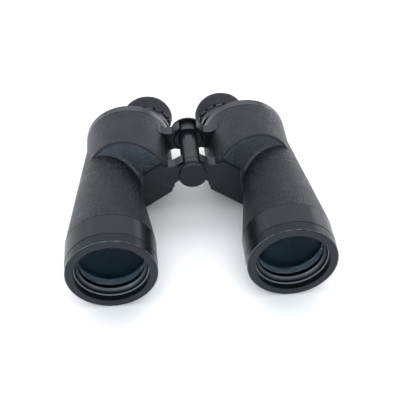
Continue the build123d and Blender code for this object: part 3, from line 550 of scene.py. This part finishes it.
def slope_place(x, z, lift):
    """A point over the ridged front of the left housing, lifted off it."""
    below = (Vector((x, 0, z)) - Vector((RIDGE_POINT.x, 0, RIDGE_POINT.z))).dot(DOWN)
    fall = LOWER_SLOPE * below if below > 0 else -UPPER_SLOPE * below
    share = min(1.0, max(0.0, below / RIDGE_BLEND + 0.5))
    normal = UPPER_NORMAL.lerp(LOWER_NORMAL, share).normalized()
    return Vector((x, RIDGE + fall, z)) + normal * lift


def panel_reach(angle):
    """Where the slope's panel starts and ends along a ray from the objective's axis."""
    way = Vector((cos(angle), 0, sin(angle)))
    to_middle = Vector((MIDDLE[0] - OBJECTIVE[0], 0, MIDDLE[1] - OBJECTIVE[1]))
    run = to_middle.dot(way)
    rest = to_middle.length_squared - run * run
    end = run + sqrt((HOUSING_RADIUS - PANEL_EDGE) ** 2 - rest)
    to_ridge = Vector((RIDGE_POINT.x - OBJECTIVE[0], 0, RIDGE_POINT.z - OBJECTIVE[1]))
    falling = way.dot(DOWN)
    if falling > 0:
        end = min(end, (to_ridge.dot(DOWN) - PANEL_EDGE) / falling)
    start = FOOT_GUESS
    for _ in range(FOOT_ROUNDS):
        station = slope_place(OBJECTIVE[0] + start * way.x, OBJECTIVE[1] + start * way.z, 0).y
        start = TUBE_RADIUS - TUBE_TAPER * (station - TUBE_START) + PANEL_FOOT
    if angle < TAIL_START:
        end = max(end, start + TAIL_WIDTH * (angle - TAIL_END) / (TAIL_START - TAIL_END))
    return start, end


def slope_panel(side, sign):
    """The pebbled covering on the sloping front: a raised crescent, rolled towards the tube."""
    angles = [TAIL_END + radians(RAY_STEP * index) for index in range(PANEL_RAYS)]
    rays = [(angle, *panel_reach(angle)) for angle in angles]
    rays = [ray for ray in rays if ray[2] - ray[1] > LEAST_SPAN]
    points, faces = [], []
    width = 2 * len(BEAD_STEPS) + MIDDLE_STEPS - 1
    for number, (angle, start, end) in enumerate(rays):
        span = end - start
        squeeze = min(1.0, span / BEAD_ROOM / BEAD_WIDTH)
        inset = [step * squeeze for step in BEAD_STEPS]
        inner = span - 2 * inset[-1]
        middle = [inset[-1] + inner * share / MIDDLE_STEPS for share in range(1, MIDDLE_STEPS)]
        runs = inset + middle + [span - value for value in reversed(inset)]
        to_tip = min(number, len(rays) - 1 - number) * TIP_STEP
        for run in runs:
            depth = min(run, span - run, to_tip) / PANEL_ROUND
            top = PANEL_LIFT + BEAD_LIFT * squeeze * max(0.0, 1 - run / BEAD_WIDTH) ** 2
            lift = top * sqrt(max(0.0, 1 - (1 - min(1.0, depth)) ** 2)) - PANEL_SINK
            x = OBJECTIVE[0] + (start + run) * cos(angle)
            z = OBJECTIVE[1] + (start + run) * sin(angle)
            point = slope_place(x, z, lift) * MM
            points.append((point.x * sign, point.y, point.z))
    for row in range(len(rays) - 1):
        for column in range(width - 1):
            first = row * width + column
            face = (first, first + 1, first + 1 + width, first + width)
            faces.append(face if sign < 0 else face[::-1])
    name = side + "_slope_panel"
    mesh = make_mesh(name, points, faces)
    add_piece(name, mesh, MATERIALS["panel"], side + "_barrel")


for side, sign in SIDES:
    slope_panel(side, sign)


def text_mesh(words, size):
    """Flat lettering in X and Y, centred, in millimetres."""
    curve = bpy.data.curves.new("lettering", "FONT")
    curve.body = words
    curve.size = size
    curve.align_x = "CENTER"
    curve.align_y = "CENTER"
    curve.resolution_u = TEXT_RESOLUTION
    holder = add_object("lettering", curve)
    bpy.context.view_layer.update()
    shaped = holder.evaluated_get(bpy.context.evaluated_depsgraph_get())
    mesh = bpy.data.meshes.new_from_object(shaped)
    points = [Vector(vertex.co) for vertex in mesh.vertices]
    faces = [tuple(polygon.vertices) for polygon in mesh.polygons]
    bpy.data.objects.remove(holder)
    bpy.data.meshes.remove(mesh)
    return points, faces


def bar(width, height):
    """A flat mark in X and Y, cut into strips along Y."""
    points = []
    for step in range(BAR_STRIPS + 1):
        level = height * (step / BAR_STRIPS - 0.5)
        points += [Vector((-width / 2, level, 0)), Vector((width / 2, level, 0))]
    faces = [(2 * step, 2 * step + 1, 2 * step + 3, 2 * step + 2) for step in range(BAR_STRIPS)]
    return points, faces


def add_marks(name, marks, place, body):
    """Joins flat marks into one piece; place maps a mark's flat point to the row frame."""
    points, faces = [], []
    for (flat, polygons), where in marks:
        start = len(points)
        points += [tuple(place(point, where) * MM) for point in flat]
        faces += [tuple(start + index for index in polygon) for polygon in polygons]
    mesh = make_mesh(name, points, faces, smooth=False)
    add_piece(name, mesh, MATERIALS["mark"], body)


def round_eyepiece(sign, radius, station):
    """Places marks by turn and distance on a cylinder round an eyepiece's axis."""
    reach = radius + MARK_LIFT

    def place(point, where):
        turn = where[0] + point.x / radius
        return Vector((
            sign * EYE[0] + sign * -reach * sin(turn),
            station + where[1] - point.y,
            EYE[1] + reach * cos(turn)))

    return place


def focus_scale(side, sign):
    """Marks and numbers round the focus ring, and an index line on the base."""
    marks = []
    for half in range(-SCALE_REACH, SCALE_REACH + 1):
        turn = radians(SCALE_MIDDLE + SCALE_STEP * half)
        length, along = FOCUS_LONG if half % 2 == 0 else FOCUS_SHORT
        marks.append((bar(FOCUS_LINE, length), (turn, along)))
        if half % NUMBERED == 0:
            size, along = FOCUS_DIGITS
            marks.append((text_mesh(str(abs(half) // 2), size), (turn, along)))
    on_ring = round_eyepiece(sign, RING_RADIUS, RING_FRONT)
    add_marks(side + "_focus_scale", marks, on_ring, side + "_focus")

    length, along = FOCUS_INDEX
    index = [(bar(INDEX_LINE, length), (radians(SCALE_MIDDLE), along))]
    on_base = round_eyepiece(sign, BASE_FLANGE_RADIUS, BASE_FLANGE_BACK)
    add_marks(side + "_focus_index", index, on_base, side + "_barrel")


for side, sign in SIDES:
    focus_scale(side, sign)


def round_hinge(station):
    """Places marks by turn and radius on a face square to the hinge."""
    def place(point, where):
        turn, radius = where
        out = Vector((cos(turn), 0, sin(turn)))
        side_way = Vector((sin(turn), 0, -cos(turn)))
        spot = out * (radius + point.y) - side_way * point.x
        return Vector((spot.x, station + MARK_LIFT, HINGE_Z + spot.z))

    return place


def eye_distance_scale():
    """The millimetre scale on the dial behind the hinge, and the index on the right arm."""
    arm_length = hypot(EYE[0], HINGE_Z - EYE[1])
    rest = 2 * asin(-EYE[0] / arm_length)
    marks = []
    for distance in EYE_DISTANCES:
        closing = rest - 2 * asin(min(1.0, distance / 2 / arm_length))
        turn = INDEX_TURN - closing
        numbered = distance % NUMBERED == 0
        length, radius = DIAL_LONG if numbered else DIAL_SHORT
        marks.append((bar(DIAL_LINE, length), (turn, radius)))
        if numbered:
            size, radius = DIAL_DIGITS
            marks.append((text_mesh(str(distance), size), (turn, radius)))
    add_marks("eye_distance_scale", marks, round_hinge(DIAL_BACK), "left_barrel")

    length, radius = DIAL_INDEX
    index = [(bar(INDEX_LINE, length), (INDEX_TURN, radius))]
    add_marks("eye_distance_index", index, round_hinge(ARM_BACK), "right_barrel")


eye_distance_scale()

# Camera at the photograph's viewing angle
camera_back = Vector((
    sin(AZIMUTH) * cos(ELEVATION), -cos(AZIMUTH) * cos(ELEVATION), sin(ELEVATION)))
camera_right = (-camera_back).cross(Vector((0, 0, 1))).normalized()
camera_up = camera_right.cross(-camera_back)
turned_right = camera_right * cos(ROLL) + camera_up * sin(ROLL)
turned_up = camera_up * cos(ROLL) - camera_right * sin(ROLL)
camera = add_object("camera", bpy.data.cameras.new("camera"))
camera.data.sensor_width = SENSOR_WIDTH
camera.data.lens = FOCAL_LENGTH
camera.data.clip_start = CAMERA_CLIP
camera.matrix_world = Matrix.Translation(
    Vector(CAMERA_TARGET) * MM + camera_back * CAMERA_DISTANCE
) @ Matrix((turned_right, turned_up, camera_back)).transposed().to_4x4()
bpy.context.scene.camera = camera

# Floor and light
floor_corners = [
    (x * FLOOR_REACH, y * FLOOR_REACH, 0) for x, y in ((-1, -1), (1, -1), (1, 1), (-1, 1))]
floor_mesh = make_mesh("floor", floor_corners, [(0, 1, 2, 3)])
floor = add_object("floor", floor_mesh)
floor.location.z = -FLOOR_DROP
floor_looks = Looks("floor_paper", 0.9)
floor_looks.colour(floor_looks.mix(floor_looks.noise(60.0), *FLOOR_GREYS))
floor_mesh.materials.append(floor_looks.material)


def softbox(name, place, target, width, height, power, colour=(1, 1, 1)):
    """A rectangular soft light aimed at a point."""
    data = bpy.data.lights.new(name, "AREA")
    data.shape = "RECTANGLE"
    data.size = width
    data.size_y = height
    data.energy = power
    data.color = colour
    lamp = add_object(name, data)
    lamp.location = place
    lamp.rotation_euler = (Vector(target) - Vector(place)).to_track_quat("-Z", "Y").to_euler()


def studio_world():
    """A dim room that brightens softly towards the ceiling."""
    world = bpy.data.worlds.new("studio")
    bpy.context.scene.world = world
    world.use_nodes = True
    tree = world.node_tree
    place = tree.nodes.new("ShaderNodeTexCoord")
    part = tree.nodes.new("ShaderNodeSeparateXYZ")
    ramp = tree.nodes.new("ShaderNodeMapRange")
    ramp.interpolation_type = "SMOOTHSTEP"
    for index, value in enumerate((0.0, *WORLD_RISE, WORLD_LOW, WORLD_HIGH)):
        ramp.inputs[index].default_value = value
    background = tree.nodes["Background"]
    tree.links.new(place.outputs["Generated"], part.inputs[0])
    tree.links.new(part.outputs[2], ramp.inputs[0])
    tree.links.new(ramp.outputs[0], background.inputs["Strength"])
    background.inputs["Color"].default_value = WORLD_COLOUR


studio_world()
softbox("top_box", (0.0, 0.85, 1.15), FLOOR_MIDDLE, 2.6, 1.3, 14)
softbox("front_box", (0.0, -1.25, 1.05), FLOOR_MIDDLE, 0.9, 0.6, 4)
softbox("left_box", (-0.8, -1.3, 0.3), PART_MIDDLE, 0.8, 0.6, 7, (0.78, 0.92, 1.0))
softbox("left_back_box", (-1.4, 1.0, 0.5), PART_MIDDLE, 1.4, 0.9, 5)
softbox("right_box", (0.9, -1.3, 0.45), PART_MIDDLE, 0.8, 0.6, 3.5, (0.85, 0.95, 1.0))
softbox("right_back_box", (1.4, 1.0, 0.3), PART_MIDDLE, 1.4, 0.56, 6)
bpy.context.scene.view_settings.view_transform = "Standard"
